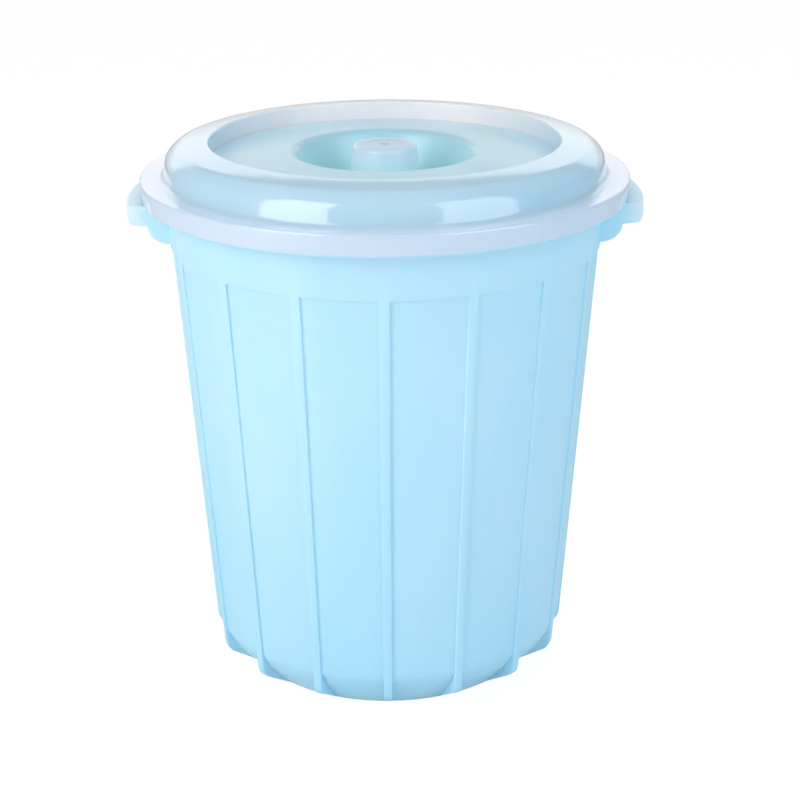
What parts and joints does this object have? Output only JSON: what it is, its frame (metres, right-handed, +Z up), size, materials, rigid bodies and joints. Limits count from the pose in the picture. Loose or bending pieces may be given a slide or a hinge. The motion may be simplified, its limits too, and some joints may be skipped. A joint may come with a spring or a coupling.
{
  "type": "lidded bucket",
  "caption": "Tapered round plastic bucket with vertical ribs, a turned-down rim with grip ears, and a lift-off lid with a rolled ring and a sunk knob.",
  "frame": {"origin": "on the floor under the centre of the foot ring", "axes": "+Z up, X through the two grip ears, -Y towards the front rib"},
  "size_m": [0.4118, 0.3892, 0.4412],
  "materials": {
    "bucket_plastic": "pale aqua moulded plastic, slightly cloudy, soft gloss",
    "lid_plastic": "pale blue moulded plastic, slightly cloudy, glossy"
  },
  "bodies": {
    "bucket": {"bucket": "bucket_plastic"},
    "lid": {"lid": "lid_plastic"}
  },
  "joints": [
    {"name": "lid_lift", "type": "slide", "parent": "bucket", "child": "lid", "axis": [0, 0, 1], "range_m": [0, 0.15]}
  ]
}
